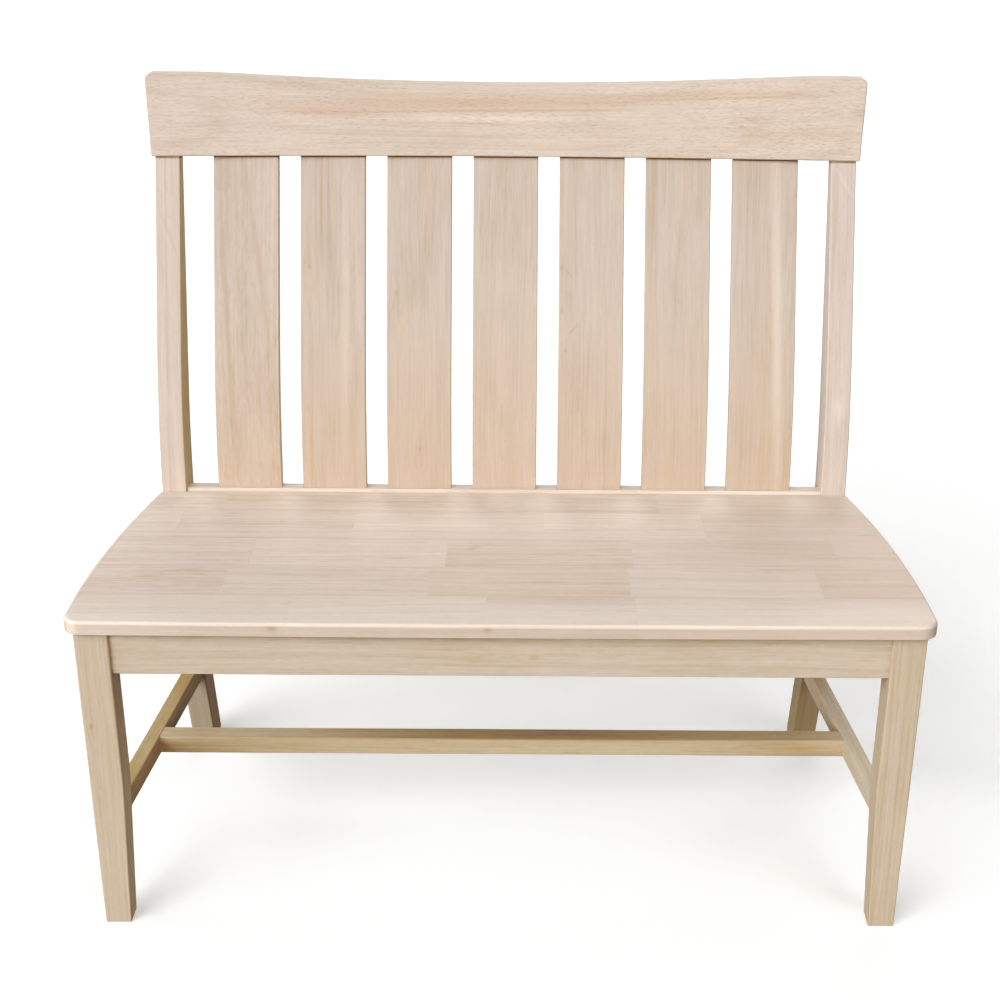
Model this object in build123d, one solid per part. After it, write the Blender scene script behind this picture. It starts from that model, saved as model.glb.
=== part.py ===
from build123d import *
from math import sqrt
import os

# Slat-back wooden settle: a solid seat board on an apron frame, square front legs that taper
# on their inner faces, one-piece back posts with a raked foot and a bent, tapering back,
# seven bent slats between a straight back rail and a curved crest rail, and an H stretcher.
# Millimetres. X runs from left to right as seen from the front, Y from front to back, Z up.
# While the pieces are made, Y is zero on the front legs' front faces and Z is zero on the
# floor. At the end everything is moved so that the origin is under the middle of the whole.

# Seat board
seat_height = 457.0
seat_thickness = 19.0
seat_side_overhang = 11.5
seat_rear_overhang = 4.5
seat_widest_setback = 22.0
seat_overhang = 14.0
seat_front_bow = 2.5
seat_corner_radius = 24.0
seat_top_round = 4.5
seat_under_arris = 1.5

# Front legs
leg_half_span = 526.5
leg_width = 42.5
leg_depth = 41.0
leg_foot_width = 34.0
leg_foot_depth = 32.0
leg_taper_height = 211.0
leg_edge_round = 2.0

# Back posts, which stand closer together than the legs
post_draw_in = 32.5
post_width = 35.0
post_setback = 394.3
post_depth = 52.0
post_foot_throw = 63.0
post_foot_depth = 49.0
post_knee_height = 217.5
post_knee_radius = 580.0
post_hip_height = 535.7
post_hip_radius = 790.0
post_back_hip_drop = 31.0
post_back_throw = 135.6
post_top_depth = 22.0
post_edge_arris = 1.2

# Aprons under the seat
apron_height = 62.0
apron_thickness = 20.0
apron_setback = 5.0
apron_edge_arris = 0.8

# Back rail: the rear apron, which rises just above the seat and carries the slats
rail_thickness = 20.0
rail_setback = 6.0
rail_rise = 4.5
rail_edge_arris = 1.3

# Crest rail
crest_bottom_height = 914.0
crest_height = 107.3
crest_overhang = 4.5
crest_flare = 9.0
crest_thickness = 27.0
crest_reveal = 5.2
crest_sagitta = 16.4
crest_dip = 13.3
crest_end_flat = 27.5
crest_shoulder_length = 100.0
crest_top_corner_radius = 7.0
crest_bottom_corner_radius = 3.0
crest_edge_arris = 1.4

# Slats
slat_count = 7
slat_width = 92.0
slat_end_gap = 45.2
slat_thickness = 13.0
slat_setback = 7.1
slat_crest_setback = 9.0
slat_edge_arris = 1.0
slat_housing_depth = 10.0

# Stretchers
stretcher_top_height = 168.0
stretcher_height = 28.5
stretcher_width = 20.5
stretcher_inset = 9.6
stretcher_edge_arris = 1.0
cross_setback = 197.0
cross_depth = 27.0
cross_height = 26.0
cross_drop = 1.0

# Tenons and their mortises
tenon_length = 18.0
side_tenon_length = 10.0
tenon_thickness = 9.0
tenon_shoulder = 6.0
post_tenon_width = 22.0
post_tenon_depth = 11.0
glue_gap = 0.15
mortise_end_gap = 1.0

# Corner blocks and the middle bearer under the seat
block_height = 38.0
block_near = 18.0
block_far = 62.0
block_screw_seat = 16.0
block_seat_screw_share = 0.75
brace_width = 45.0
brace_height = 30.0
brace_tenon_length = 8.0
brace_edge_arris = 0.8

# Screws
screw_length = 30.0
screw_diameter = 4.2
screw_head_diameter = 8.4
screw_head_height = 3.0
screw_tip_length = 5.0
screw_drive_size = 3.0
screw_drive_depth = 1.6
screw_clearance = 0.3
seat_screw_bite = 12.0
brace_screw_inset = 60.0

# One overrun serves all cuts
overrun = 60.0

# Places that follow from the sizes above
seat_underside = seat_height - seat_thickness
leg_inner = leg_half_span - leg_width
post_half_span = leg_half_span - post_draw_in
post_inner = post_half_span - post_width
seat_half_width = leg_half_span + seat_side_overhang
seat_rear_half_width = post_half_span + seat_rear_overhang
post_rear = post_setback + post_depth
apron_bottom = seat_underside - apron_height
apron_back = apron_setback + apron_thickness
apron_inset = (leg_width - apron_thickness) / 2
rail_front = post_setback + rail_setback
rail_back = rail_front + rail_thickness
rail_top = seat_height + rail_rise
stretcher_bottom = stretcher_top_height - stretcher_height
cross_top = stretcher_top_height - cross_drop
cross_back = cross_setback + cross_depth
back_lean = post_back_throw / (crest_bottom_height - post_hip_height)
crest_end_height = crest_bottom_height + crest_height
crest_front = post_setback + post_back_throw - crest_reveal
crest_radius = (post_half_span**2 + crest_sagitta**2) / (2 * crest_sagitta)
crest_half_bottom = post_half_span + crest_overhang
crest_half_top = crest_half_bottom + crest_flare
crest_dip_half_length = crest_half_top - crest_end_flat
side_taper = (leg_half_span - post_half_span) / (post_setback - leg_depth)
SIDES = {"left": -1, "right": 1}


def half_angle_tangent(slope):
    """Tangent of half the angle whose tangent is slope."""
    return slope / (1 + sqrt(1 + slope * slope))


def block(x_low, x_high, y_low, y_high, z_low, z_high):
    """Box between two opposite corners."""
    middle = ((x_low + x_high) / 2, (y_low + y_high) / 2, (z_low + z_high) / 2)
    return Pos(*middle) * Box(x_high - x_low, y_high - y_low, z_high - z_low)


def cross_bar(half_length, y_low, y_high, z_low, z_high):
    """Bar across the bench, centred on the middle plane."""
    return block(-half_length, half_length, y_low, y_high, z_low, z_high)


def plan_prism(outline, z_low, z_high):
    """Upright prism over a closed outline drawn in plan."""
    return extrude(Pos(0, 0, z_low) * make_face(outline), amount=z_high - z_low)


def side_prism(outline, x_low, x_high):
    """Prism across the bench over an outline drawn as depth and height."""
    return extrude(Plane.YZ.offset(x_low) * make_face(outline), amount=x_high - x_low)


def front_prism(face, y_low, y_high):
    """Prism from front to back over a face drawn as width and height."""
    return extrude(Plane.XZ.offset(-y_high) * face, amount=y_high - y_low)


def ease(solid, axis, arris):
    """Take a narrow flat off the long edges that run along an axis, as a sanded arris."""
    chosen = []
    for edge in solid.edges():
        reach = abs((edge.position_at(1) - edge.position_at(0)).dot(Vector(axis)))
        if reach > 4 * arris and reach > edge.length * sqrt(0.5):
            chosen.append(edge)
    return chamfer(chosen, arris)


def largest(shape):
    """The biggest solid of a shape that a cut has parted."""
    return max(shape.solids(), key=lambda piece: piece.volume)


# Seat board


def bent_front(height):
    """Depth of a post's front face at a height between its knee and its hip's bend."""
    bend_start = post_hip_height - post_hip_radius * half_angle_tangent(back_lean)
    rise = max(0, height - bend_start)
    return post_setback + post_hip_radius - sqrt(post_hip_radius**2 - rise**2)


def seat_board():
    """Board with bowed front, arched sides and a tongue that fits between the posts."""
    notch = bent_front(seat_underside) - glue_gap
    reach = notch - seat_widest_setback
    draw_in = seat_half_width - seat_rear_half_width
    arch_radius = (reach**2 + draw_in**2) / (2 * draw_in)

    def half_width(depth):
        """Half the board's width where its arched side passes a depth."""
        along = depth - seat_widest_setback
        return seat_half_width - arch_radius + sqrt(arch_radius**2 - along**2)

    front = seat_front_bow - seat_overhang
    corner = (half_width(front), front)
    middle = (front + notch) / 2
    right = ThreePointArc(
        corner, (half_width(middle), middle), (seat_rear_half_width, notch)
    )
    rear = Polyline(
        (seat_rear_half_width, notch),
        (post_inner - glue_gap, notch),
        (post_inner - glue_gap, rail_front),
        (glue_gap - post_inner, rail_front),
        (glue_gap - post_inner, notch),
        (-seat_rear_half_width, notch),
    )
    left = ThreePointArc(
        (-seat_rear_half_width, notch), (-half_width(middle), middle), (-corner[0], front)
    )
    bow = ThreePointArc((-corner[0], front), (0, -seat_overhang), corner)
    face = make_face(Curve() + [right, rear, left, bow])
    face = fillet(face.vertices().sort_by(Axis.Y)[:2], seat_corner_radius)
    board = extrude(Pos(0, 0, seat_underside) * face, amount=seat_thickness)
    for height, size, soften in (
        (seat_height, seat_top_round, fillet),
        (seat_underside, seat_under_arris, chamfer),
    ):
        rim = [
            edge for edge in board.edges()
            if abs(edge.center().Z - height) < size / 2
            and edge.center().Y < notch - seat_corner_radius
        ]
        board = soften(rim, size)
    return board


# Front legs


def front_leg_blank(side):
    """Square leg whose inner side and back face taper towards the foot."""
    sections = [
        Pos(side * (leg_half_span - width / 2), depth / 2, height)
        * RectangleRounded(width, depth, leg_edge_round)
        for width, depth, height in (
            (leg_foot_width, leg_foot_depth, 0),
            (leg_width, leg_depth, leg_taper_height),
            (leg_width, leg_depth, seat_underside),
        )
    ]
    return loft(sections, ruled=True)


# Back posts


def post_outline():
    """Side view of a post: raked foot, upright waist, bent back that thins to the crest."""
    foot_slope = post_foot_throw / post_knee_height
    front = FilletPolyline(
        (post_setback + post_foot_throw, 0),
        (post_setback, post_knee_height),
        (post_setback, post_hip_height),
        (post_setback + post_back_throw, crest_bottom_height),
        radius=[post_knee_radius, post_hip_radius],
    )
    back = FilletPolyline(
        (post_setback + post_back_throw + post_top_depth, crest_bottom_height),
        (post_rear, post_hip_height - post_back_hip_drop),
        (post_rear, post_knee_height + post_depth * half_angle_tangent(foot_slope)),
        (post_setback + post_foot_throw + post_foot_depth, 0),
        radius=[post_hip_radius - post_depth, post_knee_radius - post_depth],
    )
    return Curve() + [front, Line(front @ 1, back @ 0), back, Line(back @ 1, front @ 0)]


def post_blank(side):
    """One back post before its mortises and its top tenon."""
    inner, outer = sorted((side * post_inner, side * post_half_span))
    return ease(side_prism(post_outline(), inner, outer), (0, 0, 1), post_edge_arris)


def post_tenon(side, grow, end_gap):
    """Tenon on a post's top, which leans with the crest rail."""
    x_middle = side * (post_half_span - post_width / 2)
    y_middle = post_setback + post_back_throw + post_top_depth / 2
    section = Rectangle(post_tenon_width + 2 * grow, post_tenon_depth + 2 * grow)
    reach = (tenon_length + end_gap) * sqrt(1 + back_lean**2)
    placed = Pos(x_middle, y_middle, crest_bottom_height) * section
    return extrude(placed, amount=reach, dir=(0, back_lean, 1))


# Side aprons and side stretchers


SIDE_MEMBERS = {
    "apron": {
        "inset": apron_inset,
        "width": apron_thickness,
        "bottom": apron_bottom,
        "top": seat_underside,
        "arris": apron_edge_arris,
    },
    "stretcher": {
        "inset": stretcher_inset,
        "width": stretcher_width,
        "bottom": stretcher_bottom,
        "top": stretcher_top_height,
        "arris": stretcher_edge_arris,
    },
}


def side_line(depth, inset):
    """Half span of a side member's outer face, inset from leg and post, at a depth."""
    return leg_half_span - inset - side_taper * (depth - leg_depth)


def side_bar(side, inset, width, y_low, y_high, z_low, z_high):
    """Upright bar along one side of the bench, with ends square to the front."""
    outline = Polyline(
        (side * side_line(y_low, inset), y_low),
        (side * side_line(y_high, inset), y_high),
        (side * side_line(y_high, inset + width), y_high),
        (side * side_line(y_low, inset + width), y_low),
        close=True,
    )
    return plan_prism(outline, z_low, z_high)


def side_tenons(side, kind, leg, post, grow, end_gap):
    """Thin core of a side member, which reaches into the leg and the post."""
    sizes = SIDE_MEMBERS[kind]
    bar = side_bar(
        side, sizes["inset"], sizes["width"], 0, post_rear, sizes["bottom"], sizes["top"]
    )
    front_shoulder = (bar & leg).bounding_box().max.Y
    rear_shoulder = (bar & post).bounding_box().min.Y
    cheek = (sizes["width"] - tenon_thickness) / 2 - grow
    return side_bar(
        side,
        sizes["inset"] + cheek,
        sizes["width"] - 2 * cheek,
        front_shoulder - side_tenon_length - end_gap,
        rear_shoulder + side_tenon_length + end_gap,
        sizes["bottom"] + tenon_shoulder - grow,
        sizes["top"] - tenon_shoulder + grow,
    )


def side_member(side, kind, leg, post):
    """Side apron or side stretcher, shouldered against leg and post."""
    sizes = SIDE_MEMBERS[kind]
    bar = side_bar(
        side, sizes["inset"], sizes["width"], leg_depth / 2, post_rear,
        sizes["bottom"], sizes["top"],
    )
    body = largest(ease(bar, (0, 1, 0), sizes["arris"]) - leg - post)
    return body + side_tenons(side, kind, leg, post, 0, 0)


# Front apron, back rail, cross stretcher and middle bearer


def apron_tenons(grow, end_gap):
    """Tenons of the front apron."""
    middle = apron_setback + apron_thickness / 2
    half = tenon_thickness / 2 + grow
    return cross_bar(
        leg_inner + tenon_length + end_gap, middle - half, middle + half,
        apron_bottom + tenon_shoulder - grow, seat_underside - tenon_shoulder + grow,
    )


def front_apron():
    """Apron between the front legs, set back behind their front faces."""
    body = cross_bar(leg_inner, apron_setback, apron_back, apron_bottom, seat_underside)
    return ease(body, (1, 0, 0), apron_edge_arris) + apron_tenons(0, 0)


def rail_tenons(grow, end_gap):
    """Tenons of the back rail."""
    middle = (rail_front + rail_back) / 2
    half = tenon_thickness / 2 + grow
    return cross_bar(
        post_inner + tenon_length + end_gap, middle - half, middle + half,
        apron_bottom + tenon_shoulder - grow, rail_top - tenon_shoulder + grow,
    )


def back_rail():
    """Straight deep rail between the posts, apron below and slat carrier above."""
    body = cross_bar(post_inner, rail_front, rail_back, apron_bottom, rail_top)
    return ease(body, (1, 0, 0), rail_edge_arris) + rail_tenons(0, 0)


def cross_tenons(grow, end_gap):
    """Tenons of the cross stretcher, which end in the middle of the side stretchers."""
    centre_line = side_line((cross_setback + cross_back) / 2, stretcher_inset)
    return cross_bar(
        centre_line - stretcher_width / 2 + end_gap,
        cross_setback + tenon_shoulder - grow, cross_back - tenon_shoulder + grow,
        cross_top - cross_height + tenon_shoulder - grow, cross_top - tenon_shoulder + grow,
    )


def cross_stretcher():
    """Stretcher between the side stretchers, its ends cut to their slant."""
    bar = cross_bar(
        leg_half_span, cross_setback, cross_back, cross_top - cross_height, cross_top
    )
    bar = ease(bar, (1, 0, 0), stretcher_edge_arris)
    inset = stretcher_inset + stretcher_width
    for side in SIDES.values():
        bar -= side_bar(
            side, inset - overrun, overrun, cross_setback - overrun, cross_back + overrun,
            0, stretcher_top_height + overrun,
        )
    return largest(bar) + cross_tenons(0, 0)


def brace_tenons(grow, end_gap):
    """Stub tenons of the middle bearer."""
    half = brace_width / 2 - tenon_shoulder + grow
    return block(
        -half, half,
        apron_back - brace_tenon_length - end_gap, rail_front + brace_tenon_length + end_gap,
        seat_underside - brace_height + tenon_shoulder - grow,
        seat_underside - tenon_shoulder + grow,
    )


def seat_brace():
    """Middle bearer from the front apron to the back rail, under the seat."""
    body = block(
        -brace_width / 2, brace_width / 2, apron_back, rail_front,
        seat_underside - brace_height, seat_underside,
    )
    return ease(body, (0, 1, 0), brace_edge_arris) + brace_tenons(0, 0)


# Crest rail


def crest_arc(half_length, behind):
    """Plan curve of the crest rail's face, a distance behind its front face."""
    centre = crest_front + crest_sagitta - crest_radius
    radius = crest_radius + behind
    ends = centre + sqrt(radius**2 - half_length**2)
    return ThreePointArc((-half_length, ends), (0, centre + radius), (half_length, ends))


def crest_outline():
    """Front view of the crest rail: flared ends and a top edge dipped in the middle."""
    dip_end = crest_dip_half_length - crest_shoulder_length
    low = crest_end_height - crest_dip
    dip_height = low + crest_dip * dip_end / crest_dip_half_length
    dip = ThreePointArc((-dip_end, dip_height), (0, low), (dip_end, dip_height))
    right = TangentArc(
        (dip_end, dip_height), (crest_dip_half_length, crest_end_height), tangent=dip % 1
    )
    left = mirror(right, Plane.YZ)
    rest = Polyline(
        (crest_dip_half_length, crest_end_height),
        (crest_half_top, crest_end_height),
        (crest_half_bottom, crest_bottom_height),
        (-crest_half_bottom, crest_bottom_height),
        (-crest_half_top, crest_end_height),
        (-crest_dip_half_length, crest_end_height),
    )
    return make_face(Curve() + [dip, right, rest, left])


def crest_rail():
    """Board curved in plan that leans with the posts, trimmed to its front outline."""
    half_length = crest_half_top + crest_thickness
    front = crest_arc(half_length, 0)
    back = crest_arc(half_length, crest_thickness * sqrt(1 + back_lean**2))
    band = make_face(
        Curve() + [front, Line(front @ 1, back @ 1), back, Line(back @ 0, front @ 0)]
    )
    rise = crest_end_height - crest_bottom_height + crest_thickness
    leaning = extrude(
        Pos(0, 0, crest_bottom_height) * band,
        amount=rise * sqrt(1 + back_lean**2),
        dir=(0, back_lean, 1),
    )
    rail = leaning & front_prism(crest_outline(), 0, crest_front + rise + overrun)
    for height, radius in (
        (crest_end_height, crest_top_corner_radius),
        (crest_bottom_height, crest_bottom_corner_radius),
    ):
        corners = [
            edge for edge in rail.edges()
            if abs(edge.center().Z - height) < radius / 2
            and abs(edge.center().X) > crest_half_bottom - radius
            and edge.length < 2 * crest_thickness
            and abs(edge.position_at(1).Y - edge.position_at(0).Y) > crest_thickness / 2
        ]
        rail = fillet(corners, radius)
    return ease(rail, (1, 0, 0), crest_edge_arris)


# Slats


def slat_places():
    """Each slat's distance from the middle plane, left to right, evenly spaced."""
    outermost = post_inner - slat_end_gap - slat_width / 2
    return [outermost * (2 * number / (slat_count - 1) - 1) for number in range(slat_count)]


def slat_blank(middle, grow, end_gap):
    """Bent slat that follows the posts' curve and meets the crest rail's own curve."""
    foot_front = post_setback + slat_setback
    crest_place = crest_front + crest_sagitta - crest_radius + sqrt(crest_radius**2 - middle**2)
    lean = (crest_place + slat_crest_setback - foot_front) / (
        crest_bottom_height - post_hip_height
    )
    top = crest_bottom_height + slat_housing_depth + end_gap
    square = 1 / sqrt(1 + lean**2)

    def face_line(behind):
        """Side view of the slat's face at a distance behind its front face."""
        bend = post_hip_height - behind * half_angle_tangent(lean)
        above = top - post_hip_height - behind * lean * square
        return FilletPolyline(
            (foot_front + behind, seat_underside - post_hip_radius / 2),
            (foot_front + behind, bend),
            (foot_front + lean * (top - post_hip_height) + behind * square, post_hip_height + above),
            radius=post_hip_radius - behind,
        )

    front, back = face_line(-grow), face_line(slat_thickness + grow)
    outline = Curve() + [front, Line(front @ 1, back @ 1), back, Line(back @ 0, front @ 0)]
    half = slat_width / 2 + grow
    long_slat = side_prism(outline, middle - half, middle + half)
    foot = rail_top - slat_housing_depth - end_gap
    return long_slat & block(
        middle - slat_width, middle + slat_width, 0, crest_front + crest_bottom_height,
        foot, top + slat_width,
    )


# Corner blocks


def corner_block(side, at_front):
    """Block across a corner of the apron frame, clear of the leg or post in it."""
    if at_front:
        upright, face, start, away = leg_inner, apron_back, leg_depth, 1
    else:
        upright, face, start, away = post_inner, rail_front, post_setback, -1
    inset = apron_inset + apron_thickness
    near, far = start + away * block_near, start + away * block_far
    outline = Polyline(
        (side * (upright - block_near), face),
        (side * (upright - block_far), face),
        (side * side_line(far, inset), far),
        (side * side_line(near, inset), near),
        close=True,
    )
    return plan_prism(outline, seat_underside - block_height, seat_underside)


def block_fixings(side, at_front):
    """Seats and directions of a corner block's screws: into the cross piece, the side
    apron and the seat."""
    if at_front:
        upright, face, start, away = leg_inner, apron_back, leg_depth, 1
    else:
        upright, face, start, away = post_inner, rail_front, post_setback, -1
    mean = (block_near + block_far) / 2
    height = seat_underside - block_height / 2
    inset = apron_inset + apron_thickness
    along = start + away * mean
    square = sqrt(1 + side_taper**2)
    outward = Vector(side / square, side_taper / square, 0)
    on_side = Vector(side * side_line(along, inset), along, height)
    on_cross = Vector(side * (upright - mean), face + away * block_screw_seat, height)
    inward = mean * block_seat_screw_share
    middle = Vector(
        side * (upright - inward), face + away * inward,
        seat_underside + seat_screw_bite - screw_length,
    )
    return {
        "cross": (on_cross, Vector(0, -away, 0)),
        "side": (on_side - outward * block_screw_seat, outward),
        "seat": (middle, Vector(0, 0, 1)),
    }


def brace_fixings():
    """Seats and directions of the two screws through the middle bearer."""
    height = seat_underside + seat_screw_bite - screw_length
    places = (apron_back + brace_screw_inset, rail_front - brace_screw_inset)
    return [(Vector(0, depth, height), Vector(0, 0, 1)) for depth in places]


# Screws


def screw(seat, direction):
    """Wood screw with its head's underside on a seat, pointing along a direction."""
    radius = screw_diameter / 2
    profile = Polyline(
        (0, -screw_head_height),
        (screw_head_diameter / 2, -screw_head_height),
        (screw_head_diameter / 2, 0),
        (radius, 0),
        (radius, screw_length - screw_tip_length),
        (0, screw_length),
        close=True,
    )
    body = revolve(Plane.XZ * make_face(profile), Axis.Z)
    drive = Pos(0, 0, screw_drive_depth / 2 - screw_head_height) * Box(
        screw_drive_size, screw_drive_size, screw_drive_depth
    )
    return Plane(origin=seat, z_dir=direction) * (body - drive)


def screw_hole(seat, direction, with_head):
    """Clearance hole for a screw, with a counterbore for its head where it needs one."""
    reach = screw_length + mortise_end_gap
    radius = screw_diameter / 2 + screw_clearance
    hole = Pos(0, 0, reach / 2) * Cylinder(radius, reach)
    if with_head:
        head_radius = screw_head_diameter / 2 + screw_clearance
        hole += Pos(0, 0, glue_gap - overrun / 2) * Cylinder(head_radius, overrun)
    return Plane(origin=seat, z_dir=direction) * hole


# Assembly


def build():
    """Make every piece, cut its joints and return them by name."""
    pieces = {
        "seat_panel": seat_board(),
        "front_apron": front_apron(),
        "back_rail": back_rail(),
        "cross_stretcher": cross_stretcher(),
        "seat_brace": seat_brace(),
        "crest_rail": crest_rail(),
    }
    gaps = (glue_gap, mortise_end_gap)
    block_screws, seat_screws = [], []
    pieces["front_apron"] -= brace_tenons(*gaps)
    pieces["back_rail"] -= brace_tenons(*gaps)

    for name, side in SIDES.items():
        leg, post = front_leg_blank(side), post_blank(side)
        leg_mortises = apron_tenons(*gaps)
        post_mortises = rail_tenons(*gaps)
        for kind in SIDE_MEMBERS:
            pieces[f"{name}_side_{kind}"] = side_member(side, kind, leg, post)
            cut = side_tenons(side, kind, leg, post, *gaps)
            leg_mortises += cut
            post_mortises += cut
        pieces[f"{name}_side_stretcher"] -= cross_tenons(*gaps)
        pieces[f"{name}_front_leg"] = leg - leg_mortises
        pieces[f"{name}_back_post"] = post - post_mortises + post_tenon(side, 0, 0)
        pieces["crest_rail"] -= post_tenon(side, *gaps)

    for number, middle in enumerate(slat_places(), start=1):
        slat = slat_blank(middle, 0, 0)
        pieces[f"slat_{number}"] = ease(slat, (0, 0, 1), slat_edge_arris)
        housing = slat_blank(middle, *gaps)
        pieces["crest_rail"] -= housing
        pieces["back_rail"] -= housing

    for name, side in SIDES.items():
        for end, at_front in (("front", True), ("rear", False)):
            corner = corner_block(side, at_front)
            fixings = block_fixings(side, at_front)
            takers = {
                "cross": "front_apron" if at_front else "back_rail",
                "side": f"{name}_side_apron",
                "seat": "seat_panel",
            }
            for use, (seat, direction) in fixings.items():
                corner -= screw_hole(seat, direction, True)
                pieces[takers[use]] -= screw_hole(seat, direction, False)
                group = seat_screws if use == "seat" else block_screws
                group.append(screw(seat, direction))
            pieces[f"{end}_{name}_corner_block"] = corner

    for seat, direction in brace_fixings():
        pieces["seat_brace"] -= screw_hole(seat, direction, True)
        pieces["seat_panel"] -= screw_hole(seat, direction, False)
        seat_screws.append(screw(seat, direction))

    pieces["corner_block_screws"] = Compound(children=block_screws)
    pieces["seat_screws"] = Compound(children=seat_screws)
    return pieces


def main():
    """Write one file for each piece, with the origin under the middle of the whole."""
    pieces = build()
    boxes = [shape.bounding_box() for shape in pieces.values()]
    depth_middle = (min(box.min.Y for box in boxes) + max(box.max.Y for box in boxes)) / 2
    os.makedirs("parts", exist_ok=True)
    for name, shape in pieces.items():
        export_step(Pos(0, -depth_middle, 0) * shape, f"parts/{name}.step")
    print("pieces", len(pieces), "moved forward by", round(depth_middle, 3))


main()
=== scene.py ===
"""A slat-back wooden settle, bare and freshly sanded, on a pale studio floor.

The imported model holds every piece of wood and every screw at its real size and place. This script
gives each piece of wood its own grain, turns the plain screws into threaded ones, and sets the
floor, the lights and the camera. Lengths are metres; names that end in _mm are millimetres.
"""

import logging
import math
from dataclasses import dataclass, replace
from enum import Enum

import bmesh
import bpy
from bmesh.types import BMesh, BMVert
from bpy.types import Material, Node, NodeSocket, NodeTree
from mathutils import Matrix, Vector


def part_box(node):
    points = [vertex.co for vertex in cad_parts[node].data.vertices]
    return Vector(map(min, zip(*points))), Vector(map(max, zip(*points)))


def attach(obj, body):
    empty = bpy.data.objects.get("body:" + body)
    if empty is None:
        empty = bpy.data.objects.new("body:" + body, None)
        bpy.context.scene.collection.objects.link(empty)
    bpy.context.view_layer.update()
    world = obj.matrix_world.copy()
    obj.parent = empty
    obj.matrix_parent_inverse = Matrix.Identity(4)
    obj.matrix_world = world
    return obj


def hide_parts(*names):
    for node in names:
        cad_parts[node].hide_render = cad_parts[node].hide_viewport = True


logging.basicConfig(level=logging.INFO, format="%(message)s")
log = logging.getLogger("settle")

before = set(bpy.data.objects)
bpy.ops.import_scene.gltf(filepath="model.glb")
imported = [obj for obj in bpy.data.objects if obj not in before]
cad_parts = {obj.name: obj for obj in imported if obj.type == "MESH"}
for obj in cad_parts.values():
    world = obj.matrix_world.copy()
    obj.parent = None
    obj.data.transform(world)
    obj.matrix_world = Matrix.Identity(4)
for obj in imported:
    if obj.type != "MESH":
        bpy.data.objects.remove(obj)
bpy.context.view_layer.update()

MM = 0.001
BODY = "root"
SIDES = ("left", "right")
SLATS = tuple(f"slat_{number}" for number in range(1, 8))
# Half of a mark's length or width where it runs over the whole board
ENDLESS_MM = 4000
# Steps that spread the shifts of grain evenly over a row's staves and over the rows
STAVE_STEP, ROW_STEP = 0.618, 0.273


# Small helpers


def linear(hex_code: str) -> tuple[float, float, float, float]:
    """Turn an sRGB hex colour into the linear colour that a shader takes.

    Args:
        hex_code: Six hexadecimal digits, red first.

    Returns:
        Red, green, blue and alpha.
    """
    channels = [int(hex_code[place:place + 2], 16) / 255 for place in (0, 2, 4)]
    return (*[c / 12.92 if c <= 0.04045 else ((c + 0.055) / 1.055) ** 2.4 for c in channels], 1)


def add_node(tree: NodeTree, kind: str, inputs: dict | None = None, **settings: object) -> Node:
    """Add one node with its settings, values and links.

    Args:
        tree: The node tree.
        kind: Blender's name for the kind of node, without the leading ShaderNode.
        inputs: Input name or number to a value, a node whose first output is used, or a socket.
        **settings: The node's properties.

    Returns:
        The new node.
    """
    made = tree.nodes.new("ShaderNode" + kind)
    for name, value in settings.items():
        setattr(made, name, value)
    for name, value in (inputs or {}).items():
        if isinstance(value, Node):
            value = value.outputs[0]
        if isinstance(value, NodeSocket):
            tree.links.new(value, made.inputs[name])
        else:
            made.inputs[name].default_value = value
    return made


def sum_of(tree: NodeTree, kind: str, *values: object, node: str = "Math") -> Node:
    """Work out one sum, of numbers or of vectors.

    Args:
        tree: The node tree.
        kind: The operation.
        *values: Numbers, vectors, nodes or sockets.
        node: Math for numbers, VectorMath for vectors.

    Returns:
        Node that gives the result.
    """
    return add_node(tree, node, dict(enumerate(values)), operation=kind)


def length_of(tree: NodeTree, vector: Node) -> NodeSocket:
    """Measure a vector."""
    return sum_of(tree, "LENGTH", vector, node="VectorMath").outputs["Value"]


def remap(tree: NodeTree, value: object, seen: tuple[float, float],
          given: tuple[float, float] = (0, 1), **settings: object) -> Node:
    """Map one range of values to another.

    Args:
        tree: The node tree.
        value: Node or socket that gives the value.
        seen: Lowest and highest value that counts.
        given: What these two turn into.
        **settings: The node's properties.

    Returns:
        Node that gives the new value.
    """
    return add_node(tree, "MapRange", {
        "Value": value, "From Min": seen[0], "From Max": seen[1],
        "To Min": given[0], "To Max": given[1],
    }, **settings)


def blend(tree: NodeTree, share: object, under: object, over: object,
          **settings: object) -> NodeSocket:
    """Lay one colour over another.

    Args:
        tree: The node tree.
        share: Node or socket that gives how much of the upper colour shows.
        under: The lower colour.
        over: The upper colour.
        **settings: The node's properties.

    Returns:
        Socket that gives the colour.
    """
    inputs = {"Factor": share, 6: under, 7: over}
    return add_node(tree, "Mix", inputs, data_type="RGBA", **settings).outputs[2]


class Grain(Enum):
    """Which way a board lies: its axes along the grain, across the face and through it."""

    CROSSWISE_UPRIGHT = (0, 2, 1)
    CROSSWISE_FLAT = (0, 1, 2)
    UPRIGHT = (2, 0, 1)
    DEPTHWISE = (1, 2, 0)


# Finishes


# The boards' palettes differ partly as wood and partly as painted shade: slats, legs and stretchers
# darker than the seat, slats darker than the posts, and the left side stretcher darker than the
# right
@dataclass(frozen=True)
class Palette:
    """The colours of bare rubberwood in one kind of board.

    Attributes:
        pale: Palest wood.
        middle: Usual wood.
        dark: Darkest wood.
        warm: Wood in a warm streak.
        pore: Wood in the shade of an open pore, or a knot.
    """

    pale: str
    middle: str
    dark: str
    warm: str = "d3b490"
    pore: str = "a3876d"


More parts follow.
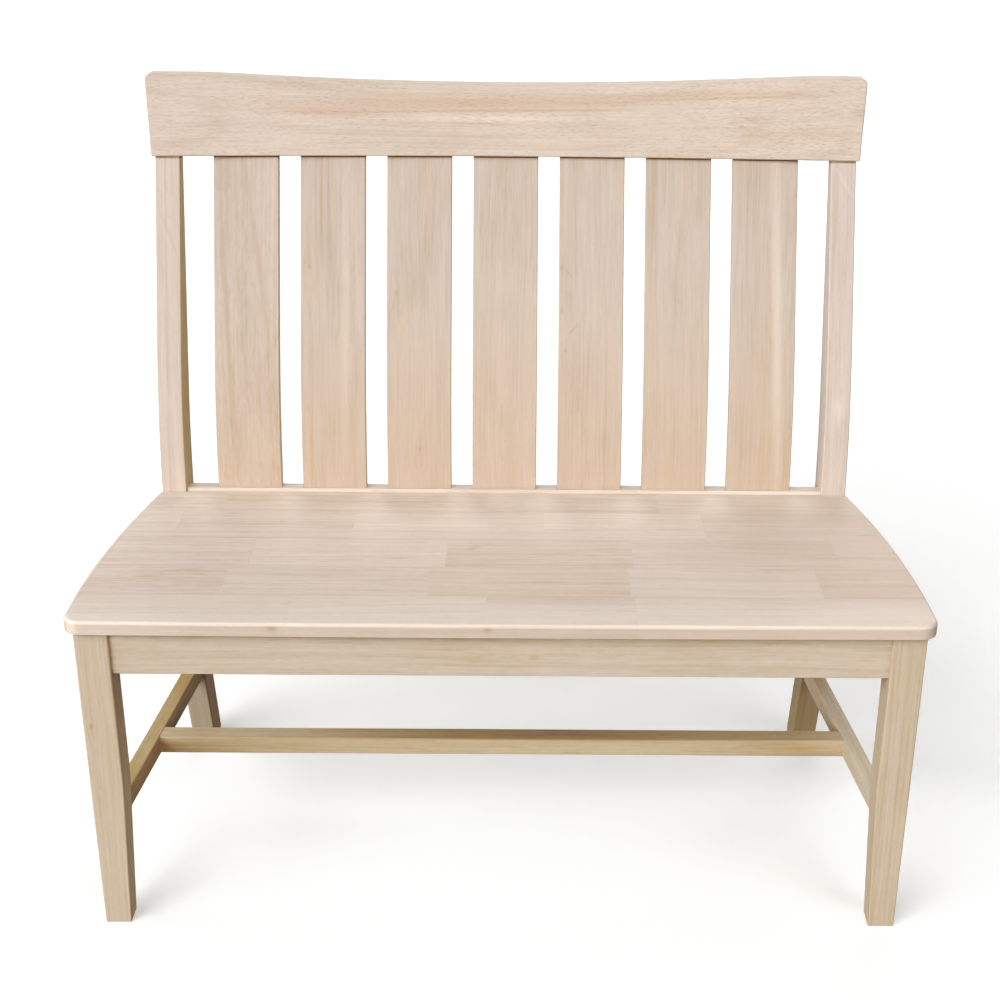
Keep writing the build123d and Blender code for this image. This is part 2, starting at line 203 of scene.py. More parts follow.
@dataclass(frozen=True)
class Mark:
    """A long soft patch of darker or paler colour on a board: most are the wood's own, some are
    painted shade or painted light.

    Attributes:
        along_mm: Place of its middle along the grain.
        across_mm: Place of its middle across the face.
        half_length_mm: Half its length.
        half_width_mm: Half its width.
        turn_deg: Its turn away from the grain.
        strength: Share of its colour that shows.
        colour: Its colour.
        through_mm: Place of its middle through the board.
        half_depth_mm: Half its depth, which runs through the board unless it is given.
    """

    along_mm: float
    across_mm: float
    half_length_mm: float
    half_width_mm: float
    turn_deg: float = 0.0
    strength: float = 0.4
    colour: str = "b98f66"
    through_mm: float = 0.0
    half_depth_mm: float = 1e6


@dataclass(frozen=True)
class Knot:
    """A small pin knot, with the grain swept round it.

    Attributes:
        along_mm: Its place along the grain.
        across_mm: Its place across the face.
        radius_mm: Its radius.
    """

    along_mm: float
    across_mm: float
    radius_mm: float


@dataclass(frozen=True)
class Bend:
    """A bend in a board, whose grain follows it.

    Attributes:
        height_mm: Where the two straight lengths would meet.
        lean: How far the bent length runs back for each unit of height, above the bend, or
            below it where this is negative.
        soft_mm: How far the curve spreads from the meeting point.
    """

    height_mm: float
    lean: float
    soft_mm: float


HIP = Bend(535.7, 0.3585, 67.0)
FOOT = Bend(217.5, -0.2897, 41.0)


@dataclass(frozen=True)
class Finish:
    """What a piece is made of, as far as it shows.

    Attributes:
        name: The material's name.
    """

    name: str

    def draw(self, tree: NodeTree) -> None:
        """Draw the finish in an empty node tree.

        Args:
            tree: The node tree.
        """
        raise NotImplementedError

    def material(self) -> Material:
        """Make the material, or give it again if it has been made."""
        made = bpy.data.materials.get(self.name)
        if made is None:
            made = bpy.data.materials.new(self.name)
            made.use_nodes = True
            made.node_tree.nodes.clear()
            self.draw(made.node_tree)
        return made


@dataclass(frozen=True)
class SandedRubberwood(Finish):
    """Bare rubberwood, planed and sanded, with no oil or lacquer.

    Pale and matt: short open pores show as fine dark flecks, growth rings as soft warm bands,
    and end grain drinks the light and looks darker.

    Attributes:
        grain: Which way the board lies.
        seed: Which piece of noise the grain is taken from.
        palette: Its colours.
        ring_mm: Width of a year's growth.
        ring_strength: How much the rings show.
        band_mm: Width of the broad bands.
        band_strength: How much they show.
        line_mm: Width of the long lines.
        line_strength: How much they show.
        fibre_strength: How much fine fibres show.
        mottle_strength: How mottled it is.
        curl_strength: How curly the grain is.
        warm_strength: How warm the warm streaks are.
        pore_strength: How dark the pores are.
        end_strength: How dark the end grain is.
        relief_mm: Depth of the pores and the fuzz.
        pith_mm: Place of the log's pith, across the face and through the board.
        pith_tilt: How far the pith runs away from the board for each unit of length.
        slant: How far the board runs aside for each unit of length.
        bends: Its bends.
        marks: The marks on it: the wood's own, and painted shade and light.
        knots: The knots in it.
    """

    grain: Grain
    seed: int
    palette: Palette = Palette("cbbdb0", "c0b1a3", "b09c89")
    ring_mm: float = 16
    ring_strength: float = 0.12
    band_mm: float = 24
    band_strength: float = 0.35
    line_mm: float = 4.5
    line_strength: float = 0.44
    fibre_strength: float = 0.62
    mottle_strength: float = 0.4
    curl_strength: float = 0.18
    warm_strength: float = 0.16
    pore_strength: float = 0.22
    end_strength: float = 0.42
    relief_mm: float = 0.08
    pith_mm: tuple[float, float] = (90.0, 160.0)
    pith_tilt: float = 0.02
    slant: float = 0.0
    bends: tuple[Bend, ...] = ()
    marks: tuple[Mark, ...] = ()
    knots: tuple[Knot, ...] = ()

    def coordinates(self, tree: NodeTree) -> tuple[Node, ...]:
        """Give the place on the board in millimetres, along, across and through.

        A side rail's slant and a bent board's bends are taken off, so that the grain runs
        with the board.

        Args:
            tree: The node tree.

        Returns:
            Three nodes, one for each direction.
        """
        place = add_node(tree, "TexCoord").outputs["Object"]
        metres = add_node(tree, "SeparateXYZ", {0: place})
        along, across, through = (
            sum_of(tree, "MULTIPLY", metres.outputs[axis], 1 / MM) for axis in self.grain.value
        )
        if self.slant:
            through = sum_of(tree, "MULTIPLY_ADD", along, self.slant, through)
        for bend in self.bends:
            above = sum_of(tree, "SUBTRACT", along, bend.height_mm)
            above = sum_of(tree, "MULTIPLY", above, math.copysign(1, bend.lean))
            square = sum_of(tree, "MULTIPLY_ADD", above, above, bend.soft_mm**2)
            root = sum_of(tree, "SQRT", square)
            both = sum_of(tree, "ADD", above, root)
            through = sum_of(tree, "MULTIPLY_ADD", both, -abs(bend.lean) / 2, through)
        return along, across, through

    def noise(self, tree: NodeTree, place: Node, along_mm: float, across_mm: float,
              detail: float = 2, channel: int = 0) -> NodeSocket:
        """Noise stretched along the grain.

        Args:
            tree: The node tree.
            place: Vector node with the place on the board in millimetres.
            along_mm: Size of its features along the grain.
            across_mm: Size of its features across the grain.
            detail: Number of finer layers.
            channel: 0 for one value, 1 for three as a colour.

        Returns:
            The noise, from 0 to 1.
        """
        scaled = add_node(tree, "Mapping", {
            "Vector": place,
            "Scale": (1 / along_mm, 1 / across_mm, 1 / across_mm),
            "Location": (self.seed * 3.7, self.seed * 5.3 + detail, self.seed * 7.1),
        })
        made = add_node(tree, "TexNoise", {
            "Vector": scaled, "Scale": 1.0, "Detail": detail, "Roughness": 0.55,
        })
        return made.outputs[channel]

    def wandering(self, tree: NodeTree, sizes: tuple[Node, ...]) -> Node:
        """Let the fibres wander a little, and sweep them round each knot.

        Args:
            tree: The node tree.
            sizes: The place on the board, as coordinates() gives it.

        Returns:
            Vector node with the place in the grain.
        """
        place = add_node(tree, "CombineXYZ", dict(enumerate(sizes)))
        sway = self.noise(tree, place, 420, 110, 1, 1)
        sway = sum_of(tree, "SUBTRACT", sway, (0.5, 0.5, 0.5), node="VectorMath")
        place = sum_of(tree, "MULTIPLY_ADD", sway, (0, 14, 14), place, node="VectorMath")
        for knot in self.knots:
            middle = (knot.along_mm, knot.across_mm, 0)
            away = sum_of(tree, "SUBTRACT", place, middle, node="VectorMath")
            flat = sum_of(tree, "MULTIPLY", away, (0.35, 1, 0), node="VectorMath")
            reach = length_of(tree, flat)
            push = remap(tree, reach, (0, 7 * knot.radius_mm), (0.75, 0),
                         interpolation_type="SMOOTHSTEP")
            moved = add_node(tree, "VectorMath", {0: flat, "Scale": push}, operation="SCALE")
            place = sum_of(tree, "SUBTRACT", place, moved, node="VectorMath")
        return place

    def rings(self, tree: NodeTree, place: Node) -> Node:
        """Growth rings about a pith that runs beside the board at a slight tilt.

        Args:
            tree: The node tree.
            place: Vector node, the place in the grain.

        Returns:
            Node that gives 0 in early wood and 1 at the end of a year's growth.
        """
        parts = add_node(tree, "SeparateXYZ", {0: place})
        tilt = sum_of(tree, "MULTIPLY_ADD", parts.outputs[0], self.pith_tilt, self.pith_mm[1])
        across = sum_of(tree, "SUBTRACT", parts.outputs[1], self.pith_mm[0])
        through = sum_of(tree, "SUBTRACT", parts.outputs[2], tilt)
        spoke = add_node(tree, "CombineXYZ", {0: across, 1: through})
        radius = length_of(tree, spoke)
        uneven = self.noise(tree, place, 900, 60, 1)
        turns = sum_of(tree, "MULTIPLY", radius, 1 / self.ring_mm)
        turns = sum_of(tree, "MULTIPLY_ADD", uneven, 1.6, turns)
        year = sum_of(tree, "FRACT", turns)
        ramp = add_node(tree, "ValToRGB", {0: year})
        ramp.color_ramp.interpolation = "EASE"
        stops = ramp.color_ramp.elements
        stops[0].position, stops[0].color = 0.0, (0.35, 0.35, 0.35, 1)
        stops[1].position, stops[1].color = 1.0, (0.35, 0.35, 0.35, 1)
        for position, value in ((0.18, 0.0), (0.62, 0.18), (0.9, 1.0)):
            stops.new(position).color = (value, value, value, 1)
        return ramp

    def tone(self, tree: NodeTree, place: Node) -> Node:
        """Weigh rings, bands, long lines, fibres, mottle and curl into one value.

        Args:
            tree: The node tree.
            place: Vector node, the place in the grain.

        Returns:
            Node that gives 0 in the darkest wood and 1 in the palest.
        """
        layers = (
            (self.rings(tree, place), -self.ring_strength, 0.3),
            (self.noise(tree, place, 900, self.band_mm, 2), self.band_strength, 0.5),
            (self.noise(tree, place, 700, self.line_mm, 1), self.line_strength, 0.5),
            (self.noise(tree, place, 150, 1.9, 3), self.fibre_strength, 0.5),
            (self.noise(tree, place, 160, 70, 2), self.mottle_strength, 0.5),
            (self.noise(tree, place, 22, 6, 1), self.curl_strength, 0.5),
        )
        total = 0.5
        for layer, strength, middle in layers:
            centred = sum_of(tree, "SUBTRACT", layer, middle)
            total = sum_of(tree, "MULTIPLY_ADD", centred, strength, total)
        return total

    def patch(self, tree: NodeTree, place: Node, mark: Mark, shade: object) -> NodeSocket:
        """Lay one mark over the wood's colour.

        Args:
            tree: The node tree.
            place: Vector node, the place in the grain.
            mark: The mark.
            shade: Node or socket that gives the colour so far.

        Returns:
            The colour with the mark on it.
        """
        # Texture mapping takes the mark's place, turn and size off
        local = add_node(tree, "Mapping", {
            "Vector": place,
            "Location": (mark.along_mm, mark.across_mm, mark.through_mm),
            "Rotation": (0, 0, math.radians(mark.turn_deg)),
            "Scale": (mark.half_length_mm, mark.half_width_mm, mark.half_depth_mm),
        }, vector_type="TEXTURE")
        reach = length_of(tree, local)
        mask = remap(tree, reach, (0, 1), (mark.strength, 0), interpolation_type="SMOOTHSTEP")
        return blend(tree, mask, shade, linear(mark.colour))

    def colour(self, tree: NodeTree, sizes: tuple[Node, ...], place: Node,
               tone: Node) -> object:
        """Colour the wood from its tone, then lay marks and knots on it.

        Args:
            tree: The node tree.
            sizes: The place on the board.
            place: Vector node, the place in the grain.
            tone: Node that gives the wood's tone.

        Returns:
            Node or socket that gives the colour.
        """
        shade = add_node(tree, "ValToRGB", {0: tone})
        stops = shade.color_ramp.elements
        stops[0].position, stops[0].color = 0.1, linear(self.palette.dark)
        stops[1].position, stops[1].color = 0.9, linear(self.palette.pale)
        stops.new(0.5).color = linear(self.palette.middle)
        streak = remap(tree, self.noise(tree, place, 420, 9, 2), (0.5, 0.75),
                       (0, self.warm_strength))
        shade = blend(tree, streak, shade, linear(self.palette.warm))
        board = add_node(tree, "CombineXYZ", dict(enumerate(sizes)))
        for mark in self.marks:
            shade = self.patch(tree, board, mark, shade)
        for knot in self.knots:
            length, width = 2.6 * knot.radius_mm, 1.6 * knot.radius_mm
            core = Mark(knot.along_mm, knot.across_mm, length, width, 0, 0.42, self.palette.pore)
            shade = self.patch(tree, board, core, shade)
        return shade

    def pores(self, tree: NodeTree, place: Node) -> Node:
        """Short dark pore flecks, drawn about three times their real width so that they show.

        Args:
            tree: The node tree.
            place: Vector node, the place in the grain.

        Returns:
            Node that gives 1 in a pore and 0 beside it.
        """
        fleck = self.noise(tree, place, 9, 0.8, 0)
        thick = self.noise(tree, place, 200, 30, 1)
        return sum_of(tree, "MULTIPLY", remap(tree, fleck, (0.58, 0.72)), thick)

    def end_grain(self, tree: NodeTree) -> Node:
        """Show where a surface cuts the fibres across.

        Args:
            tree: The node tree.

        Returns:
            Node that gives 1 on end grain and 0 on long grain.
        """
        facing = add_node(tree, "TexCoord").outputs["Normal"]
        parts = add_node(tree, "SeparateXYZ", {0: facing})
        square = sum_of(tree, "ABSOLUTE", parts.outputs[self.grain.value[0]])
        return remap(tree, square, (0.55, 0.95))

    def finish(self, tree: NodeTree, shade: object, place: Node) -> None:
        """Add pores, end grain and the sanded surface, and join it all to the output.

        Args:
            tree: The node tree.
            shade: Node or socket that gives the wood's colour.
            place: Vector node, the place in the grain.
        """
        pores = self.pores(tree, place)
        share = sum_of(tree, "MULTIPLY", pores, self.pore_strength)
        shade = blend(tree, share, shade, linear(self.palette.pore))
        ends = sum_of(tree, "MULTIPLY", self.end_grain(tree), self.end_strength)
        shade = blend(tree, ends, shade, linear(self.palette.dark), blend_type="MULTIPLY")
        fuzz = self.noise(tree, place, 30, 1.2, 2)
        rough = remap(tree, fuzz, (0.3, 0.7), (0.58, 0.72))
        relief = sum_of(tree, "MULTIPLY_ADD", pores, -1.0, fuzz)
        bump = add_node(tree, "Bump", {
            "Height": relief, "Strength": 0.25, "Distance": self.relief_mm * MM,
        })
        skin = add_node(tree, "BsdfPrincipled", {
            "Base Color": shade, "Roughness": rough, "Normal": bump,
            "IOR": 1.52, "Specular IOR Level": 0.3,
        })
        add_node(tree, "OutputMaterial", {"Surface": skin})

    def draw(self, tree: NodeTree) -> None:
        """Draw the board's wood in an empty node tree.

        Args:
            tree: The node tree.
        """
        sizes = self.coordinates(tree)
        place = self.wandering(tree, sizes)
        self.finish(tree, self.colour(tree, sizes, place, self.tone(tree, place)), place)


class Stave(Enum):
    """How a stave of the glued seat board looks beside its neighbours: tone and warmth."""

    PALE = (0.92, 0.25)
    CREAM = (0.72, 0.45)
    PLAIN = (0.50, 0.50)
    TAN = (0.30, 0.62)
    WARM = (0.38, 0.85)


@dataclass(frozen=True)
class StavedRubberwood(SandedRubberwood):
    """Rubberwood staves, glued edge to edge and butted end to end, then sanded as one board.

    Each stave keeps its own tone and its own run of grain, so the joints show as steps in
    colour and not as grooves.

    Attributes:
        rows: From front to back: where each row of staves starts, in millimetres, and its
            staves from left to right, each with the place of its right end.
        reach_mm: Half of the length that the joints are laid out on.
        tone_strength: How much the staves differ.
        stave_warmth: How much warmer the warmest stave is.
        shift_mm: How far along the log two staves may lie apart.
    """

    rows: tuple[tuple[float, tuple[tuple[float, Stave], ...]], ...] = ()
    reach_mm: float = 600.0
    tone_strength: float = 0.3
    stave_warmth: float = 0.2
    shift_mm: float = 4000.0

    def layout(self, tree: NodeTree, sizes: tuple[Node, ...]) -> Node:
        """Give each stave its own colour code: tone, warmth and a shift of its grain.

        Args:
            tree: The node tree.
            sizes: The place on the board.

        Returns:
            Node that gives the three codes apart.
        """
        along = remap(tree, sizes[0], (-self.reach_mm, self.reach_mm))
        code = None
        for number, (start_mm, staves) in enumerate(self.rows):
            ramp = add_node(tree, "ValToRGB", {0: along})
            ramp.color_ramp.interpolation = "CONSTANT"
            stops = ramp.color_ramp.elements
            stops.remove(stops[1])
            left_mm = -self.reach_mm
            for place, (right_mm, stave) in enumerate(staves):
                position = (left_mm + self.reach_mm) / (2 * self.reach_mm)
                stop = stops[0] if place == 0 else stops.new(position)
                stop.position = position
                shift = (STAVE_STEP * (1 + place) + ROW_STEP * (1 + number)) % 1
                stop.color = (*stave.value, shift, 1)
                left_mm = right_mm
            if code is None:
                code = ramp
                continue
            behind = sum_of(tree, "GREATER_THAN", sizes[1], start_mm)
            code = blend(tree, behind, code, ramp)
        return add_node(tree, "SeparateColor", {0: code})

    def draw(self, tree: NodeTree) -> None:
        """Draw the staved board in an empty node tree.

        Args:
            tree: The node tree.
        """
        sizes = self.coordinates(tree)
        code = self.layout(tree, sizes)
        jump = sum_of(tree, "MULTIPLY", code.outputs[2], self.shift_mm)
        shifted = (
            sum_of(tree, "ADD", sizes[0], jump),
            sum_of(tree, "ADD", sizes[1], jump),
            sizes[2],
        )
        place = self.wandering(tree, shifted)
        lift = sum_of(tree, "SUBTRACT", code.outputs[0], 0.5)
        tone = sum_of(tree, "MULTIPLY_ADD", lift, self.tone_strength, self.tone(tree, place))
        shade = self.colour(tree, sizes, place, tone)
        warm = remap(tree, code.outputs[1], (0.5, 1.0), (0, self.stave_warmth))
        shade = blend(tree, warm, shade, linear(self.palette.warm))
        self.finish(tree, shade, place)


@dataclass(frozen=True)
class PlainFinish(Finish):
    """A finish with little to see in it, such as zinc plate or a studio floor.

    Attributes:
        colour: Its colour.
        roughness: Its roughness.
        metallic: 1 for a metal.
        speck_mm: Size of the faint mottle that keeps it from looking flat.
        glow: Light that it gives off, for a sweep that is lit from below.
    """

    colour: str
    roughness: float
    metallic: float = 0.0
    speck_mm: float = 2.0
    glow: float = 0.0

    def draw(self, tree: NodeTree) -> None:
        """Draw the finish in an empty node tree.

        Args:
            tree: The node tree.
        """
        place = add_node(tree, "TexCoord").outputs["Object"]
        mottle = add_node(tree, "TexNoise", {
            "Vector": place, "Scale": 1 / (self.speck_mm * MM), "Detail": 2.0,
        })
        rough = remap(tree, mottle, (0.3, 0.7), (self.roughness - 0.05, self.roughness + 0.05))
        skin = add_node(tree, "BsdfPrincipled", {
            "Base Color": linear(self.colour), "Roughness": rough, "Metallic": self.metallic,
            "Emission Color": linear(self.colour), "Emission Strength": self.glow,
        })
        add_node(tree, "OutputMaterial", {"Surface": skin})


# Wood of the front legs and of the pieces that the seat hides
LEG_WOOD = Palette("d9c6b2", "cbb9a2", "b9a186", "cba87b", "9c7c60")
# Steel under a thin yellowish zinc plate, which is bright in its scratches and dull between
ZINC_PLATE = PlainFinish("yellow_zinc_plate", "c9b071", 0.32, metallic=1.0, speck_mm=0.8)
# Matt translucent sweep, lit from below so that its shadows stay pale
PALE_FLOOR = PlainFinish("pale_floor", "f8f8f7", 0.9, speck_mm=12.0, glow=0.22)


# The bench's pieces


def dress(node: str, finish: Finish) -> None:
    """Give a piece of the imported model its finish.

    Args:
        node: The piece's name.
        finish: What it is made of.
    """
    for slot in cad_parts[node].material_slots:
        slot.link = "OBJECT"
        slot.material = finish.material()
    log.info("%s: %s", node, finish.name)


@dataclass
class SeatGroup:
    """The seat board, glued up from staves.

    Attributes:
        palette: Its colours.
        glue_and_edge_shade_colour: Colour of the glue lines, and of the painted shade on the front
            edge.
    """

    palette: Palette = Palette("ece1d4", "e0d2c4", "cebba8", "daba94", "b1977c")
    glue_and_edge_shade_colour: str = "b59a80"

    def rows(self) -> tuple:
        """Lay out the staves, from the board's front edge."""
        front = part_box("seat_panel")[0].y / MM
        pale, cream, plain, tan, warm = Stave
        return (
            (front, ((-265, plain), (-20, cream), (168, plain), (395, cream), (600, pale))),
            (front + 79, ((-360, tan), (-95, plain), (160, warm), (405, pale), (600, tan))),
            (front + 164, ((-335, plain), (-75, cream), (170, tan), (445, plain), (600, cream))),
            (front + 252, ((-450, cream), (-210, plain), (55, pale), (272, pale), (600, plain))),
            (front + 342, ((-400, plain), (-25, tan), (220, plain), (600, cream))),
        )

    def marks(self) -> tuple[Mark, ...]:
        """List the glue lines between the rows, the painted shade on the front edge and on the
        right end, the painted light along the front of the top, and what marks the wood.
        """
        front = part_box("seat_panel")[0].y / MM
        low, high = (corner.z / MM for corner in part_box("seat_panel"))
        middle = (low + high) / 2
        glue = tuple(
            Mark(0, start, ENDLESS_MM, 1.3, 0, 0.25, self.glue_and_edge_shade_colour)
            for start, _ in self.rows()[1:]
        )
        knots = tuple(
            Mark(along, front, size, 14, 0, 0.5, "ab8161", middle + 3, 0.6 * size)
            for along, size in ((-279, 10), (-16, 9))
        )
        return (
            # The mark along the front edge is painted shade, darkening the edge's face and the
            # top's first few millimetres
            *glue, Mark(0, front, ENDLESS_MM, 4, 0, 0.4, self.glue_and_edge_shade_colour), *knots,
            # Painted shade: the right end of the seat darker
            Mark(580, -60, 460, ENDLESS_MM, 0, 0.5, "c8b39f"),
            # Painted light: a paler band along the front of the seat's top
            Mark(0, front + 15, ENDLESS_MM, 75, 0, 0.45, "f4ebe2", high, 6),
            Mark(-279, front, 18, 12, 0, 0.25, "c9a27c", middle, 7),
            Mark(285, -190, 150, 2.5, 1, 0.5, "ebe1d8"),
            Mark(-407, -157, 26, 6, 4, 0.4, "bd9263"), Mark(-392, -170, 18, 5, -6, 0.35, "bd9263"),
            Mark(-455, -176, 30, 7, 2, 0.35, "bd9263"), Mark(-428, -160, 14, 5, 0, 0.3, "bd9263"),
            Mark(-136, -118, 32, 5, 3, 0.3, "bd9263"), Mark(-40, -86, 20, 9, 30, 0.3, "bd9a6c"),
            Mark(60, -187, 60, 2.5, 1, 0.4, "b58f6c"), Mark(360, -148, 45, 4, -2, 0.3, "b58f6c"),
            Mark(497, -36, 22, 5, 4, 0.35, "c69a72"),
        )

    def build(self) -> None:
        """Dress the seat board."""
        dress("seat_panel", StavedRubberwood(
            "rubberwood_seat", Grain.CROSSWISE_FLAT, 1, self.palette, rows=self.rows(),
            band_strength=0.36, line_strength=0.38, curl_strength=0.3, ring_strength=0.1,
            marks=self.marks(),
        ))


@dataclass
class BackGroup:
    """Posts, slats and the two rails that hold the slats.

    Attributes:
        slat: Wood that all slats share.
        post: Wood of the posts.
        rail: Wood of the crest rail and the back rail.
        gap_and_shadow_colour: Colour of the gaps under the crest rail, with the painted shadow
            under the rail's overhang.
        gap_and_shadow_half_mm: Half the height they are drawn with.
        painted_foot_shade_colour: Colour of the painted warm shade at the foot of the slats.
        painted_foot_shade_reach_mm: How far up that painted shade reaches.
        slat_features: What sets each slat apart, from the left.
    """

    slat: SandedRubberwood = SandedRubberwood(
        "rubberwood_slat", Grain.UPRIGHT, 10, bends=(HIP,), ring_mm=12,
    )
    post: SandedRubberwood = SandedRubberwood(
        "rubberwood_post", Grain.UPRIGHT, 30, Palette("d3c6bb", "c7b9ae", "b6a391"),
        bends=(HIP, FOOT),
    )
    rail: SandedRubberwood = SandedRubberwood(
        "rubberwood_rail", Grain.CROSSWISE_UPRIGHT, 40,
        Palette("d5c7ba", "cabbad", "b9a692"),
    )
    gap_and_shadow_colour: str = "7d5f43"
    gap_and_shadow_half_mm: float = 2.0
    painted_foot_shade_colour: str = "b3946c"
    painted_foot_shade_reach_mm: float = 330.0
    slat_features: tuple[dict, ...] = (
        {"marks": (
            Mark(685, -395, 330, 7, -3.3, 0.5, "b0977f"),
            Mark(782, -352, 170, 7, -8.2, 0.4, "b0977f"),
            Mark(850, -383, 200, 24, -3.3, 0.3, "bfa998"),
        ), "curl_strength": 0.5, "pore_strength": 0.35},
        {"knots": (Knot(767, -279, 2),), "marks": (
            Mark(767, -281, 70, 6, 0, 0.3, "cda671"), Mark(515, -277, 70, 4, 0, 0.4, "c99d66"),
            Mark(850, -262, 120, 2.2, 0, 0.4), Mark(690, -228, 300, 10, 0, 0.3, "ded1c3"),
        )},
        {"knots": (Knot(732, -155, 3), Knot(519, -121, 2.2)), "marks": (
            Mark(712, -161, 26, 2.5, 20, 0.3, "b99a78"),
        )},
        {"knots": (Knot(531, 1, 1.6),)},
        {"knots": (Knot(766, 80, 2.6), Knot(710, 81, 2.4), Knot(657, 86, 2)), "marks": (
            Mark(685, 97, 16, 1.6, 40, 0.6), Mark(760, 90, 14, 1.8, -40, 0.5),
        ), "pith_mm": (122.0, -330.0), "pith_tilt": 0.04},
        {},
        {"marks": (Mark(690, 388, 420, 12, -1.4, 0.5, "ded2c2"),)},
    )

    def joint(self, node: str) -> Mark:
        """Show the dark gap where an upright meets the crest rail's underside.

        It is drawn wider than the real gap, which is too fine to show, and darker, as painted
        shadow under the rail's overhang.

        Args:
            node: The upright's name.

        Returns:
            A line across the upright, just below the rail.
        """
        low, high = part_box(node)
        centre = (low.x + high.x) / 2 / MM
        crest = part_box("crest_rail")[0].z / MM
        middle = crest - 1.1 * self.gap_and_shadow_half_mm
        return Mark(middle, centre, self.gap_and_shadow_half_mm, ENDLESS_MM, 0, 0.75, self.gap_and_shadow_colour)

    def slat_finish(self, number: int) -> SandedRubberwood:
        """Give each slat its own board, cut from another part of the log.

        Args:
            number: Which slat, from the left.

        Returns:
            Its finish.
        """
        low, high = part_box(SLATS[number])
        centre = (low.x + high.x) / 2 / MM
        pith = (centre + 70 * math.cos(2.4 * number), -150.0 - 25 * number)
        features = {"pith_mm": pith, "marks": (), **self.slat_features[number]}
        # Painted warm shade at the slat's foot, and the joint line under the crest rail with its
        # painted shadow
        foot = Mark(low.z / MM, centre, self.painted_foot_shade_reach_mm, ENDLESS_MM, 0, 0.25, self.painted_foot_shade_colour)
        features["marks"] += (foot, self.joint(SLATS[number]))
        return replace(
            self.slat, name=f"{self.slat.name}_{number + 1}", seed=self.slat.seed + number,
            **features,
        )

    def build(self) -> None:
        """Dress the whole back."""
        for number, node in enumerate(SLATS):
            dress(node, self.slat_finish(number))
        post_marks_and_shade = {
            "left": (
                Mark(815, -477, 44, 3, -21, 0.2, "b59a82"),
                Mark(800, -470, 40, 3, -18, 0.2, "b59a82"),
                # Painted shade: the foot of the post, below the seat, darker
                Mark(0, -450, 440, 400, 0, 0.35, "ab9a70"),
                # Painted shade: a dark strip on the post's inner face
                Mark(500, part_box("left_back_post")[1].x / MM, ENDLESS_MM, 3.5, 0, 0.6, "a68b54"),
            ),
            "right": (
                Mark(885, 478, 42, 4, -33, 0.3, "dfd3c8"),
                Mark(583, 478, 32, 14, 0, 0.4, "dfd3c8"),
                # Painted shade: the foot of the post, below the seat, darker
                Mark(0, 450, 440, 400, 0, 0.65, "a08a62"),
            ),
        }
        for number, side in enumerate(SIDES):
            node = f"{side}_back_post"
            dress(node, replace(
                self.post, name=f"{self.post.name}_{side}", seed=self.post.seed + number,
                marks=post_marks_and_shade[side] + (self.joint(node),),
            ))
        dress("crest_rail", replace(
            self.rail, name="rubberwood_crest", seed=41, pith_mm=(1060, -160), pith_tilt=0.02,
            ring_mm=11, pore_strength=0.8, curl_strength=0.2, marks=(
                Mark(-60, 984, 420, 18, 0.5, 0.5, "b99a7a"),
                Mark(-250, 972, 160, 9, -1.5, 0.3, "b98f74"),
                Mark(-20, 974, 330, 3, 0.6, 0.4, "b68a60"),
                Mark(270, 998, 260, 8, 1.8, 0.4, "b99a7a"),
                Mark(320, 994, 240, 2.8, 2.2, 0.4, "b68a60"),
                Mark(-30, 964, 300, 7, 0.5, 0.5, "ddd0c5"),
                Mark(230, 918, 70, 5, 0, 0.2, "c9a06f"),
                Mark(420, 946, 150, 14, 0, 0.25, "bfa28c"),
            ),
        ))
        dress("back_rail", replace(
            self.rail, name="rubberwood_back_rail", seed=42,
            palette=Palette("ddd3c8", "d3c7bb", "c1b09e"),
        ))


